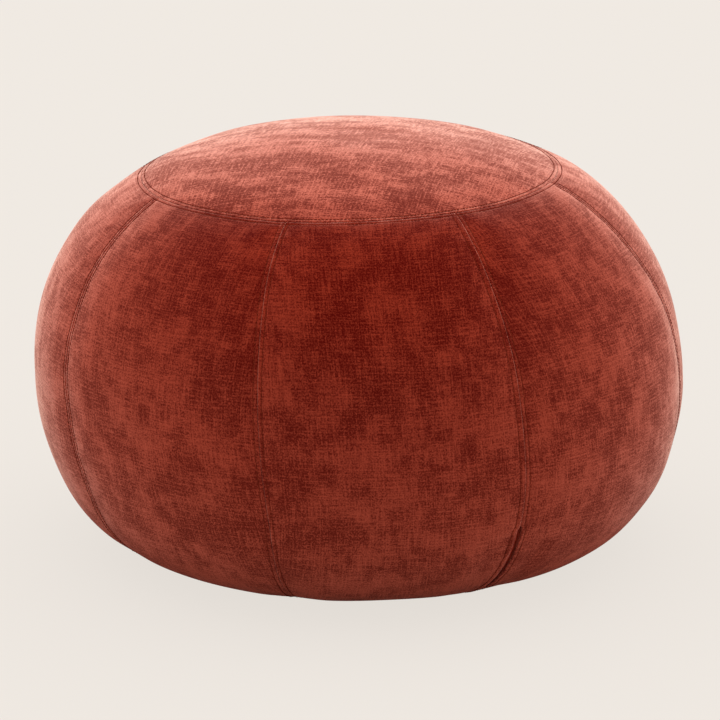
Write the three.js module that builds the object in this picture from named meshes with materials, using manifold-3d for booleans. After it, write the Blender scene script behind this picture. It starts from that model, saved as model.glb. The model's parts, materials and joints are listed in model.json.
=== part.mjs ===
// A round floor cushion (pouf): eight sewn side gores between a crowned top panel and a flat base
// panel, a short filling zip in one gore seam, and a lined bead filling inside the cover.
//
// Millimetres, +Z up, floor at Z = 0, centred on the Z axis. Azimuths are measured from -Y (the front)
// towards +X. A "depth" is measured inwards from the outer face of the cover.
import * as THREE from 'three';
import { mergeVertices } from 'three/addons/utils/BufferGeometryUtils.js';
import Module from 'manifold-3d';

const wasm = await Module();
wasm.setup();

// ---------------------------------------------------------------- driving dimensions

// Outline of the cover, seen from the side. Angles are elevations of the outward normal.
const cushionWidth = 550;
const cushionHeight = 350;
const footRadius = 113;
const sideRadius = 207;
const footJoinAngle = -23.7;
const shoulderJoinAngle = 13.5;
const topSeamAngle = 60.5;
const crownRise = 27;
const baseSeamInset = 14;

// Sewing.
const goreCount = 8;
const clothThickness = 1.6;
const seamAllowance = 12;
const seamGap = 0.3;
const topstitchOffset = 3.5;
const threadRadius = 0.5;
const threadClearance = 0.3;
const topstitchLowestAngle = -79;

// Filling zip, set into the first gore seam and lying on the foot's rounding.
const zipAzimuth = 29.2;
const zipOpenAngle = -19.5;
const zipClosedAngle = -68;
const zipLipOpening = 4.2;
const zipLipTaper = 6;
const sliderLength = 10.6;
const sliderWidth = 8.6;
const sliderPlate = 1;
const sliderNoseTaper = 0.85;
const flangeReach = 0.7;
const hemRoom = 0.7;
const coilWidth = 2.6;
const coilHeight = 2.2;
const coilPitch = 4;
const coilToothDepth = 0.5;
const tapeThickness = 0.6;
const tapeHalfWidth = 13;
const tapeUnderHem = 1.2;
const tapeDip = 3;
const tapePastStop = 5;
const coilOnTape = 0.4;
const stopLength = 2;
const bridgeWidth = 1.2;
const bridgeLength = 4.4;
const bridgeThickness = 0.8;
const bridgePlay = 0.25;
const pullLength = 11.5;
const pullLegWidth = 0.9;
const pullThickness = 0.8;
const pullWindowPlay = 0.9;
const zipClearance = 0.3;

// Inner bag and filling.
const linerDepth = 5;
const linerThickness = 0.8;
const linerEdgeInset = 10;
const linerZipMargin = 1;
const fillClearance = 0.4;

// How finely curves are broken into flats.
const goreFacets = 4;
const footSteps = 5;
const sideSteps = 2;
const shoulderSteps = 6;
const crownSteps = 4;
const bagSegments = 30;

// ---------------------------------------------------------------- outline

const DEG = Math.PI / 180;
const hemDepth = 2 * clothThickness;

const direction = (angle) => new THREE.Vector2(Math.cos(angle * DEG), Math.sin(angle * DEG));
const sine = (angle) => Math.sin(angle * DEG);

const sideCentre = new THREE.Vector2(
  cushionWidth / 2 - sideRadius,
  footRadius - (sideRadius - footRadius) * sine(footJoinAngle),
);
const footCentre = sideCentre.clone().addScaledVector(direction(footJoinAngle), sideRadius - footRadius);

// The shoulder's radius is what reaches the top seam's height from the side.
const topSeamHeight = cushionHeight - crownRise;
const shoulderRadius = (topSeamHeight - sideCentre.y - sideRadius * sine(shoulderJoinAngle))
  / (sine(topSeamAngle) - sine(shoulderJoinAngle));
const shoulderCentre = sideCentre.clone()
  .addScaledVector(direction(shoulderJoinAngle), sideRadius - shoulderRadius);

const topSeam = shoulderCentre.clone().addScaledVector(direction(topSeamAngle), shoulderRadius);
const crownRadius = (topSeam.x ** 2 + crownRise ** 2) / (2 * crownRise);
const crownAngle = 90 - Math.asin(topSeam.x / crownRadius) / DEG;
const crownCentre = new THREE.Vector2(0, cushionHeight - crownRadius);
const seamNormalAngle = (topSeamAngle + crownAngle) / 2;
const baseSeamRadius = footCentre.x - baseSeamInset;

/** count + 1 values evenly spread from one value to another. */
function spread(from, to, count) {
  return Array.from({ length: count + 1 }, (_, i) => from + ((to - from) * i) / count);
}

/** A station of the outline: a point, and the direction that depth is measured against. */
function station(centre, radius, angle, open = false) {
  const normal = direction(angle);
  return { point: centre.clone().addScaledVector(normal, radius), normal, open };
}

// The lips of the zip stand open between these two elevations, one on the foot, one on the side.
const pullSweep = pullLength / footRadius / DEG;
const lipLowAngle = zipClosedAngle - pullSweep - 1;
const lipLowShut = lipLowAngle - zipLipTaper / footRadius / DEG;
const lipTopHeight = footCentre.y + footRadius * sine(zipOpenAngle + pullSweep / 2);
const lipTopAngle = Math.asin((lipTopHeight - sideCentre.y) / sideRadius) / DEG;
const lipTopShut = lipTopAngle + zipLipTaper / sideRadius / DEG;

const onFoot = (angle, open) => station(footCentre, footRadius, angle, open);
const onSide = (angle, open) => station(sideCentre, sideRadius, angle, open);
const onShoulder = (angle) => station(shoulderCentre, shoulderRadius, angle);

const baseStation = {
  point: new THREE.Vector2(baseSeamRadius + seamGap / 2, 0),
  normal: new THREE.Vector2(0, -1),
  open: false,
};
const seamStation = {
  point: onShoulder(topSeamAngle - seamGap / 2 / shoulderRadius / DEG).point,
  normal: direction(seamNormalAngle),
  open: false,
};
const wallStations = [
  ...spread(lipLowAngle, footJoinAngle, footSteps).map((angle) => onFoot(angle, true)),
  onSide(lipTopAngle, true),
  ...spread(lipTopShut, 0, sideSteps).map((angle) => onSide(angle, false)),
  ...spread(0, shoulderJoinAngle, sideSteps).slice(1).map((angle) => onSide(angle, false)),
  ...spread(shoulderJoinAngle, topSeamAngle, shoulderSteps).slice(1, -1).map(onShoulder),
];
const goreStations = [
  baseStation,
  onFoot(-90, false),
  onFoot(lipLowShut, false),
  ...wallStations,
  seamStation,
];

// ---------------------------------------------------------------- solids

/** Turns a geometry's faces outwards if they point inwards. */
function facingOut(geometry) {
  const at = geometry.getAttribute('position');
  const index = geometry.getIndex().array;
  const corner = (k) => new THREE.Vector3().fromBufferAttribute(at, index[k]);
  let volume = 0;
  for (let k = 0; k < index.length; k += 3) {
    volume += corner(k).dot(corner(k + 1).cross(corner(k + 2)));
  }
  if (volume < 0) index.reverse();
  geometry.computeVertexNormals();
  return geometry;
}

/** A geometry from points and triangles. */
function faceted(points, triangles) {
  const geometry = new THREE.BufferGeometry();
  const numbers = points.flatMap((p) => p.toArray());
  geometry.setAttribute('position', new THREE.Float32BufferAttribute(numbers, 3));
  geometry.setIndex(triangles.flat());
  return facingOut(geometry);
}

/**
 * A closed solid through rings of points. A ring's first half runs along one face of the section and its
 * second half runs back along the other, so the ends close as a strip. The path has ends, or is a loop.
 */
function loft(rings, loop = false) {
  const count = rings[0].length;
  const spans = loop ? rings.length : rings.length - 1;
  const triangles = [];
  for (let span = 0; span < spans; span += 1) {
    const here = span * count;
    const next = ((span + 1) % rings.length) * count;
    for (let i = 0; i < count; i += 1) {
      const j = (i + 1) % count;
      triangles.push([here + i, here + j, next + j], [here + i, next + j, next + i]);
    }
  }
  const last = spans * count;
  for (let i = 0; !loop && i < count / 2 - 1; i += 1) {
    const [a, b, c, d] = [i, i + 1, count - 2 - i, count - 1 - i];
    triangles.push([c, b, a], [d, c, a], [last + a, last + b, last + c], [last + a, last + c, last + d]);
  }
  return faceted(rings.flat(), triangles);
}

/** A solid turned about the Z axis through given azimuths. Its section starts and ends on the axis. */
function turned(section, azimuths) {
  const rings = section.slice(1, -1);
  const count = azimuths.length;
  const points = [section[0], section.at(-1)].map((p) => new THREE.Vector3(0, 0, p.y));
  for (const p of rings) {
    points.push(...azimuths.map((azimuth) => around(p.x, azimuth, p.y)));
  }
  const vertex = (ring, i) => 2 + ring * count + (i % count);
  const triangles = [];
  for (let i = 0; i < count; i += 1) {
    triangles.push([0, vertex(0, i), vertex(0, i + 1)]);
    for (let ring = 0; ring + 1 < rings.length; ring += 1) {
      const [a, b] = [vertex(ring, i), vertex(ring, i + 1)];
      const [c, d] = [vertex(ring + 1, i + 1), vertex(ring + 1, i)];
      triangles.push([a, c, b], [a, d, c]);
    }
    triangles.push([1, vertex(rings.length - 1, i + 1), vertex(rings.length - 1, i)]);
  }
  return faceted(points, triangles);
}

/** The same, as a smooth lathe turning. */
function lathed(section) {
  return new THREE.LatheGeometry(section, bagSegments).rotateX(Math.PI / 2);
}

/** A manifold solid from a three.js geometry. */
function solidOf(geometry) {
  const bare = geometry.clone();
  bare.deleteAttribute('normal');
  bare.deleteAttribute('uv');
  const merged = mergeVertices(facingOut(mergeVertices(bare)), 1e-4);
  merged.deleteAttribute('normal');
  return new wasm.Manifold(new wasm.Mesh({
    numProp: 3,
    vertProperties: new Float32Array(merged.getAttribute('position').array),
    triVerts: new Uint32Array(merged.getIndex().array),
  }));
}

/** A three.js geometry from a manifold solid. */
function geometryOf(solid) {
  const mesh = solid.getMesh();
  const geometry = new THREE.BufferGeometry();
  geometry.setAttribute('position', new THREE.BufferAttribute(mesh.vertProperties, mesh.numProp));
  geometry.setIndex(new THREE.BufferAttribute(mesh.triVerts, 1));
  geometry.computeVertexNormals();
  return geometry;
}

/** Several overlapping geometries as one. */
function joined(geometries) {
  const solids = geometries.map(solidOf);
  return geometryOf(solids.reduce((whole, solid) => whole.add(solid)));
}

// ---------------------------------------------------------------- places on the cover

const seamAzimuth = (seam) => (zipAzimuth + (360 / goreCount) * seam) * DEG;
const isZipSeam = (seam) => seam % goreCount === 0;

/** A point at a distance from the axis, an azimuth and a height. */
function around(radius, azimuth, height) {
  return new THREE.Vector3(radius * Math.sin(azimuth), -radius * Math.cos(azimuth), height);
}

/** A point under the cover's outer face at a station. */
function coverPoint(at, azimuth, depth) {
  return around(at.point.x - depth * at.normal.x, azimuth, at.point.y - depth * at.normal.y);
}

/** How far a gore's folded edge stands back from the middle of its seam. */
function foldInset(at, seam) {
  return (isZipSeam(seam) && at.open ? zipLipOpening : seamGap) / 2;
}

/** Azimuths across one gore at a station: the folds, the hems' inner edges, and flats between them. */
function goreAzimuths(at, gore) {
  const marks = [0, seamAllowance, seamAllowance + clothThickness];
  const from = (seam, distance) => (foldInset(at, seam) + distance) / at.point.x;
  const low = marks.map((distance) => seamAzimuth(gore) + from(gore, distance));
  const high = marks.map((distance) => seamAzimuth(gore + 1) - from(gore + 1, distance)).reverse();
  const middle = spread(low.at(-1), high[0], goreFacets).slice(1, -1);
  return { low, middle, high };
}

// ---------------------------------------------------------------- cover

/** One side gore, with its seam allowances folded under along both long edges. */
function sideGore(gore) {
  const rings = goreStations.map((at) => {
    const { low, middle, high } = goreAzimuths(at, gore);
    const outer = [...low, ...middle, ...high].map((azimuth) => coverPoint(at, azimuth, 0));
    const inner = [
      ...low.slice(0, -1).map((azimuth) => coverPoint(at, azimuth, hemDepth)),
      ...[low.at(-1), ...middle, high[0]].map((azimuth) => coverPoint(at, azimuth, clothThickness)),
      ...high.slice(1).map((azimuth) => coverPoint(at, azimuth, hemDepth)),
    ];
    return [...outer, ...inner.reverse()];
  });
  return loft(rings);
}

/** The azimuths of every gore's facet corners at a station, so that a panel's rim lies along them. */
function rimAzimuths(at) {
  return spread(0, goreCount - 1, goreCount - 1).flatMap((gore) => {
    const { low, middle, high } = goreAzimuths(at, gore);
    return [low.at(-1), ...middle, high[0]];
  });
}

const crownPoint = (angle, depth) => (
  crownCentre.clone().addScaledVector(direction(angle), crownRadius - depth)
);

/** The crowned top panel, with its allowance folded under round the rim. */
function topPanel() {
  const perMillimetre = 1 / crownRadius / DEG;
  const rimAngle = crownAngle + (seamGap / 2) * perMillimetre;
  const hemAngle = rimAngle + seamAllowance * perMillimetre;
  const rim = crownPoint(rimAngle, 0);
  const rimUnder = rim.clone().addScaledVector(direction(seamNormalAngle), -hemDepth);
  const outer = spread(90, rimAngle, crownSteps).slice(0, -1).map((angle) => crownPoint(angle, 0));
  const inner = spread(hemAngle, 90, crownSteps - 1).map((angle) => crownPoint(angle, clothThickness));
  const outline = [...outer, rim, rimUnder, crownPoint(hemAngle, hemDepth), ...inner];
  return turned(outline, rimAzimuths(seamStation));
}

/** The flat base panel, with its allowance folded under round the rim. */
function basePanel() {
  const rim = baseSeamRadius - seamGap / 2;
  const hem = rim - seamAllowance;
  const section = [
    [0, 0],
    [rim, 0],
    [rim, hemDepth],
    [hem, hemDepth],
    [hem, clothThickness],
    [0, clothThickness],
  ];
  return turned(section.map(([x, y]) => new THREE.Vector2(x, y)), rimAzimuths(baseStation));
}

/** The section of a stitched thread, about its own centre. */
const threadSection = spread(0, 270, 3).map((angle) => direction(angle).multiplyScalar(threadRadius));

/** One row of topstitching beside a gore seam, on side -1 or +1 of it. */
function seamTopstitch(seam, side) {
  const clearOfRing = 2 * (topstitchOffset + threadRadius) / shoulderRadius / DEG;
  const path = [
    onFoot(Math.max(topstitchLowestAngle, lipLowShut), false),
    ...wallStations,
    onShoulder(topSeamAngle - clearOfRing),
  ];
  const lift = threadRadius + threadClearance;
  const rings = path.map((at) => threadSection.map((offset) => {
    const across = foldInset(at, seam) + topstitchOffset + offset.x;
    return coverPoint(at, seamAzimuth(seam) + (side * across) / at.point.x, -lift - offset.y);
  }));
  return loft(rings);
}

/** A ring of topstitching beside the top seam, through a station on the gores or on the panel. */
function ringTopstitch(at) {
  const lift = threadRadius + threadClearance;
  const seams = spread(0, goreCount - 1, goreCount - 1).map(seamAzimuth);
  const azimuths = [...rimAzimuths(seamStation), ...seams].sort((a, b) => a - b);
  const along = new THREE.Vector2(-at.normal.y, at.normal.x);
  const rings = azimuths.map((azimuth) => threadSection.map((offset) => {
    const shifted = { point: at.point.clone().addScaledVector(along, offset.x), normal: at.normal };
    return coverPoint(shifted, azimuth, -lift - offset.y);
  }));
  return loft(rings, true);
}

// ---------------------------------------------------------------- zip

// Depths of the zip's layers, from the hem inwards.
const plateTop = hemDepth + hemRoom;
const coilTop = plateTop + sliderPlate + zipClearance;
const tapeTop = coilTop + coilHeight + zipClearance;
const lowerPlateTop = tapeTop + tapeThickness + zipClearance;
const zipBottom = lowerPlateTop + sliderPlate;
const wingTop = hemDepth + tapeUnderHem;
const pullDepth = plateTop - pullThickness / 2 - zipClearance;
const bridgeTop = pullDepth - pullThickness / 2 - zipClearance - bridgeThickness;

// Across the zip, from its middle.
const postHalf = 0.3;
const coilInner = postHalf + zipClearance;
const coilOuter = coilInner + coilWidth;
const tapeInner = coilInner + coilOnTape;
const pullHalf = bridgeWidth / 2 + bridgePlay + pullLegWidth;

const footDegrees = (millimetres) => millimetres / footRadius / DEG;
const travelSlack = 2 * zipClearance;
const topStopStart = zipOpenAngle + footDegrees(sliderLength / 2 + travelSlack);
const bottomStopStart = zipClosedAngle - footDegrees(sliderLength / 2 + travelSlack);
const tapeTopEnd = topStopStart + footDegrees(tapePastStop);
const tapeBottomEnd = bottomStopStart - footDegrees(tapePastStop);

const zipAlong = around(1, seamAzimuth(0), 0);
const zipAcross = new THREE.Vector3(Math.cos(seamAzimuth(0)), Math.sin(seamAzimuth(0)), 0);

/** A point of the zip: an elevation on the foot's rounding, a distance across, and a depth. */
function zipPoint(angle, across, depth) {
  const flat = footCentre.clone().addScaledVector(direction(angle), footRadius - depth);
  return zipAlong.clone().multiplyScalar(flat.x).addScaledVector(zipAcross, across).setZ(
    zipAcross.z * across + flat.y,
  );
}

/** A solid whose (across, depth) outline follows the zip. The outline may change with each step. */
function zipSweep(outlineAt, start, end, steps) {
  const ring = (angle, i) => outlineAt(i).map((p) => zipPoint(angle, p.x, p.y));
  return loft(spread(start, end, steps).map(ring));
}

/** An outline from (across, depth) pairs, mirrored where side is -1. */
const acrossAndDepth = (pairs, side = 1) => pairs.map(([x, y]) => new THREE.Vector2(side * x, y));

/** A rectangular (across, depth) outline. */
const band = (low, high, top, bottom) => (
  acrossAndDepth([[low, top], [high, top], [high, bottom], [low, bottom]])
);

/** One side's tape, sewn under the hem and dipping under the coil. */
function zipTape(side) {
  const bend = sliderWidth / 2 + zipClearance;
  const outline = acrossAndDepth([
    [tapeInner, tapeTop],
    [bend, tapeTop],
    [bend + tapeDip, wingTop],
    [tapeHalfWidth, wingTop],
    [tapeHalfWidth, wingTop + tapeThickness],
    [bend + tapeDip, wingTop + tapeThickness],
    [bend, tapeTop + tapeThickness],
    [tapeInner, tapeTop + tapeThickness],
  ], side);
  return zipSweep(() => outline, tapeBottomEnd, tapeTopEnd, 9);
}

/** One side's coil, its inner edge notched once a pitch. */
function zipCoil(side) {
  const start = bottomStopStart + footDegrees(zipClearance);
  const end = topStopStart - footDegrees(zipClearance);
  const steps = 2 * Math.round(((end - start) * DEG * footRadius) / coilPitch);
  const outlineAt = (step) => {
    const inner = coilInner + (step % 2) * coilToothDepth;
    return acrossAndDepth([
      [inner, coilTop],
      [coilOuter, coilTop],
      [coilOuter, coilTop + coilHeight],
      [inner, coilTop + coilHeight],
    ], side);
  };
  return zipSweep(outlineAt, start, end, steps);
}

/** A stop across both coils, running away from the given elevation. */
function zipStop(start, length) {
  const outline = band(-coilOuter, coilOuter, plateTop, coilTop + coilHeight);
  return zipSweep(() => outline, start, start + footDegrees(length), 2);
}

/** The slider: two plates joined by a post between the coils, guide flanges, and the pull's bridge. */
function zipSlider() {
  const half = footDegrees(sliderLength / 2);
  const [nose, tail] = [zipClosedAngle - half, zipClosedAngle + half];
  const wide = sliderWidth / 2;
  const flangeInner = coilOuter + zipClearance;
  const flangeBottom = coilTop + flangeReach * coilHeight;
  const plateSteps = 3;
  const tapered = (step) => (step === plateSteps ? sliderNoseTaper : 1);
  const plate = (top, reach) => zipSweep(
    (step) => band(-reach * tapered(step), reach * tapered(step), top, top + sliderPlate),
    nose,
    tail,
    plateSteps,
  );
  const piece = (outline, from, to) => zipSweep(() => outline, from, to, 2);
  const overlap = sliderPlate / 2;
  const flange = (side) => piece(
    acrossAndDepth([
      [flangeInner, plateTop + overlap],
      [wide, plateTop + overlap],
      [wide, flangeBottom],
      [flangeInner, flangeBottom],
    ], side),
    nose,
    tail - footDegrees(sliderLength / 3),
  );
  const bridgeHalf = footDegrees(bridgeLength / 2);
  const bridgeLeg = footDegrees(bridgeThickness);
  const leg = band(-bridgeWidth / 2, bridgeWidth / 2, bridgeTop, plateTop + overlap);
  const bar = band(-bridgeWidth / 2, bridgeWidth / 2, bridgeTop, bridgeTop + bridgeThickness);
  return joined([
    plate(plateTop, wide),
    plate(lowerPlateTop, coilOuter),
    piece(band(-postHalf, postHalf, plateTop + overlap, lowerPlateTop + overlap), nose, nose + half / 2),
    flange(1),
    flange(-1),
    piece(leg, zipClosedAngle - bridgeHalf, zipClosedAngle - bridgeHalf + bridgeLeg),
    piece(leg, zipClosedAngle + bridgeHalf - bridgeLeg, zipClosedAngle + bridgeHalf),
    piece(bar, zipClosedAngle - bridgeHalf, zipClosedAngle + bridgeHalf),
  ]);
}

/** The pull tab, hooked under the bridge by its end bar and lying towards the closed end. */
function zipPull() {
  const end = pullThickness / 2;
  const outline = new THREE.Shape();
  outline.moveTo(-end, -pullHalf);
  outline.lineTo(pullLength - pullHalf, -pullHalf);
  outline.absarc(pullLength - pullHalf, 0, pullHalf, -Math.PI / 2, Math.PI / 2, false);
  outline.lineTo(-end, pullHalf);
  const windowHalf = pullHalf - pullLegWidth;
  const windowEnd = bridgeLength / 2 + pullWindowPlay;
  const window = new THREE.Path();
  window.moveTo(end, -windowHalf);
  window.lineTo(end, windowHalf);
  window.lineTo(windowEnd, windowHalf);
  window.lineTo(windowEnd, -windowHalf);
  outline.holes.push(window);
  const tab = new THREE.ExtrudeGeometry(outline, {
    depth: pullThickness,
    bevelEnabled: false,
    curveSegments: 8,
  });
  tab.translate(0, 0, -end);
  const outwards = zipPoint(zipClosedAngle, 0, 0).sub(zipPoint(zipClosedAngle, 0, 1));
  const towardsNose = zipAcross.clone().cross(outwards);
  const place = new THREE.Matrix4().makeBasis(towardsNose, zipAcross, outwards);
  place.setPosition(zipPoint(zipClosedAngle, 0, pullDepth));
  return tab.applyMatrix4(place);
}

// ---------------------------------------------------------------- inner bag and filling

/** The space inside the cover at a depth, as a section to turn. */
function insideSection(depth) {
  const inner = (at) => at.point.clone().addScaledVector(at.normal, -depth);
  const corner = depth / Math.cos((crownAngle - topSeamAngle) / 2 * DEG);
  return [
    new THREE.Vector2(0, depth),
    ...spread(-90, footJoinAngle, footSteps + 1).map((angle) => inner(onFoot(angle))),
    ...spread(footJoinAngle, 0, sideSteps).slice(1).map((angle) => inner(onSide(angle))),
    ...spread(0, shoulderJoinAngle, sideSteps).slice(1).map((angle) => inner(onSide(angle))),
    ...spread(shoulderJoinAngle, topSeamAngle, shoulderSteps).slice(1, -1).map(
      (angle) => inner(onShoulder(angle)),
    ),
    topSeam.clone().addScaledVector(direction(seamNormalAngle), -corner),
    ...spread(crownAngle, 90, crownSteps).slice(1, -1).map((angle) => crownPoint(angle, depth)),
    new THREE.Vector2(0, cushionHeight - depth),
  ];
}

/** Room for the zip behind the cover, grown by a margin. */
function zipRoom(margin) {
  const grown = linerZipMargin + margin;
  const outline = band(-tapeHalfWidth - grown, tapeHalfWidth + grown, -linerDepth, zipBottom + grown);
  const reach = footDegrees(grown);
  return solidOf(zipSweep(() => outline, tapeBottomEnd - reach, tapeTopEnd + reach, 9));
}

/** What the bag holds at a depth, dented where the zip sits. */
function bagInside(depth) {
  return solidOf(lathed(insideSection(depth))).subtract(zipRoom(depth - linerDepth));
}

/** An upright round cutter between two heights. */
function cutter(radius, low, high) {
  const drum = new THREE.CylinderGeometry(radius, radius, high - low, bagSegments);
  return solidOf(drum.rotateX(Math.PI / 2).translate(0, 0, (low + high) / 2));
}

/** The three pieces of the inner bag. */
function linerPieces() {
  const bag = bagInside(linerDepth).subtract(bagInside(linerDepth + linerThickness));
  const middle = cushionHeight / 2;
  const topRadius = topSeam.x - linerEdgeInset;
  const baseRadius = baseSeamRadius - linerEdgeInset;
  return {
    liner_top: geometryOf(bag.intersect(cutter(topRadius, middle, cushionHeight))),
    liner_side: geometryOf(
      bag
        .subtract(cutter(topRadius + seamGap, middle, cushionHeight))
        .subtract(cutter(baseRadius + seamGap, 0, middle)),
    ),
    liner_base: geometryOf(bag.intersect(cutter(baseRadius, 0, middle))),
  };
}

// ---------------------------------------------------------------- assembly

const finishes = {
  velvet: { color: '#8f3d2e', roughness: 0.85, metalness: 0 },
  thread: { color: '#8a3a2c', roughness: 0.6, metalness: 0 },
  tape: { color: '#5a2219', roughness: 0.9, metalness: 0 },
  coil: { color: '#4c1c15', roughness: 0.45, metalness: 0 },
  metal: { color: '#6e5546', roughness: 0.35, metalness: 0.9 },
  calico: { color: '#e6dfd0', roughness: 0.9, metalness: 0 },
  beads: { color: '#f4f4f1', roughness: 0.8, metalness: 0 },
};

const cushion = new THREE.Group();

function add(name, geometry, finish) {
  const mesh = new THREE.Mesh(geometry, new THREE.MeshStandardMaterial(finishes[finish]));
  mesh.name = name;
  cushion.add(mesh);
}

add('top_panel', topPanel(), 'velvet');
add('base_panel', basePanel(), 'velvet');
for (let gore = 0; gore < goreCount; gore += 1) {
  add(`side_gore_${gore + 1}`, sideGore(gore), 'velvet');
  add(`topstitch_seam_${gore + 1}_left`, seamTopstitch(gore, -1), 'thread');
  add(`topstitch_seam_${gore + 1}_right`, seamTopstitch(gore, 1), 'thread');
}

const ringOnGores = onShoulder(topSeamAngle - topstitchOffset / shoulderRadius / DEG);
const ringOnPanel = station(crownCentre, crownRadius, crownAngle + topstitchOffset / crownRadius / DEG);
add('topstitch_ring_gores', ringTopstitch(ringOnGores), 'thread');
add('topstitch_ring_panel', ringTopstitch(ringOnPanel), 'thread');

for (const [side, sign] of [['left', -1], ['right', 1]]) {
  add(`zip_tape_${side}`, zipTape(sign), 'tape');
  add(`zip_coil_${side}`, zipCoil(sign), 'coil');
}
add('zip_top_stop', zipStop(topStopStart, stopLength), 'metal');
add('zip_bottom_stop', zipStop(bottomStopStart, -stopLength), 'metal');
add('zip_slider', zipSlider(), 'metal');
add('zip_pull', zipPull(), 'metal');

for (const [name, geometry] of Object.entries(linerPieces())) {
  add(name, geometry, 'calico');
}
add('bead_fill', geometryOf(bagInside(linerDepth + linerThickness + fillClearance)), 'beads');

export default cushion;
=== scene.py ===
"""The looks of a round velvet floor cushion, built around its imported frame.

The cover is eight gores, a crowned top panel and a flat base panel. Every panel is one sheet of
cloth that rolls into its seams, every row of topstitching is made stitch by stitch, and the
filling zip low in one seam keeps the frame's own moving pieces. Lengths are in metres.
"""

import json
import logging
import math
from dataclasses import dataclass, field
from enum import Enum
from typing import Callable

import bmesh
import bpy
import numpy as np
from bpy.types import Material, Mesh, Node, NodeSocket, NodeTree, Object
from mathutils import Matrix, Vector


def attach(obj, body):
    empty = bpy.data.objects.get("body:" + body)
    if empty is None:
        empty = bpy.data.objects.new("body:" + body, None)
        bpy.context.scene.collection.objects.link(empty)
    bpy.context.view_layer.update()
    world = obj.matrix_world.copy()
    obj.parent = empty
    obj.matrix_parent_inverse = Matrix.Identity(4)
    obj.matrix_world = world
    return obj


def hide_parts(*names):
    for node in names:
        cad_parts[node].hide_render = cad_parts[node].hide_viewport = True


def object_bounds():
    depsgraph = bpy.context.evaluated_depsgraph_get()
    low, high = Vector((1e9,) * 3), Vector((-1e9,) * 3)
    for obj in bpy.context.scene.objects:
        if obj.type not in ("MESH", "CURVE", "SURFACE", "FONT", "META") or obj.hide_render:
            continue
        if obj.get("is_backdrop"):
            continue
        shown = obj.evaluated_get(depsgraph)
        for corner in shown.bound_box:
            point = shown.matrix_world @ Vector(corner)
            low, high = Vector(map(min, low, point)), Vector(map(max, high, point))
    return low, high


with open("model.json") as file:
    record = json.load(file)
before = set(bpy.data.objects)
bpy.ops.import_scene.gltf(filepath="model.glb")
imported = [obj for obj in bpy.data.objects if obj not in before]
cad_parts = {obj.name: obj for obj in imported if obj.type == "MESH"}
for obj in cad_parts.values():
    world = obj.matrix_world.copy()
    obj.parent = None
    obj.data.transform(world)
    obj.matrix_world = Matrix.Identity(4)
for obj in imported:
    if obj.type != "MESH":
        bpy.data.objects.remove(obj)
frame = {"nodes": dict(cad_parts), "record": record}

MM = 0.001
LOG = logging.getLogger("floor_cushion")

Colour = tuple[float, float, float]


# ------------------------------------------------------------------ small helpers


def ease(low: float, high: float, value: np.ndarray) -> np.ndarray:
    """Returns 0 below low, 1 above high, and a smooth rise between them."""
    t = np.clip((value - low) / (high - low), 0.0, 1.0)
    return t * t * (3.0 - 2.0 * t)


def sine(degrees: float) -> float:
    """Returns the sine of an angle in degrees."""
    return math.sin(math.radians(degrees))


def cosine(degrees: float) -> float:
    """Returns the cosine of an angle in degrees."""
    return math.cos(math.radians(degrees))


def ripple(position: np.ndarray, spacing: float, seed: int) -> np.ndarray:
    """Makes smooth random values along a line.

    Args:
        position: Places along the line.
        spacing: The distance between independent values.
        seed: Which random line it is.

    Returns:
        Values from -1 to 1, one for each place.
    """
    knots = np.random.default_rng(seed).uniform(-1.0, 1.0, 1024)
    t = position / spacing + 300.0
    low = np.floor(t).astype(int)
    share = ease(0.0, 1.0, t - low)
    return knots[low % 1024] * (1.0 - share) + knots[(low + 1) % 1024] * share


# ------------------------------------------------------------------ the cover's outline


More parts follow.
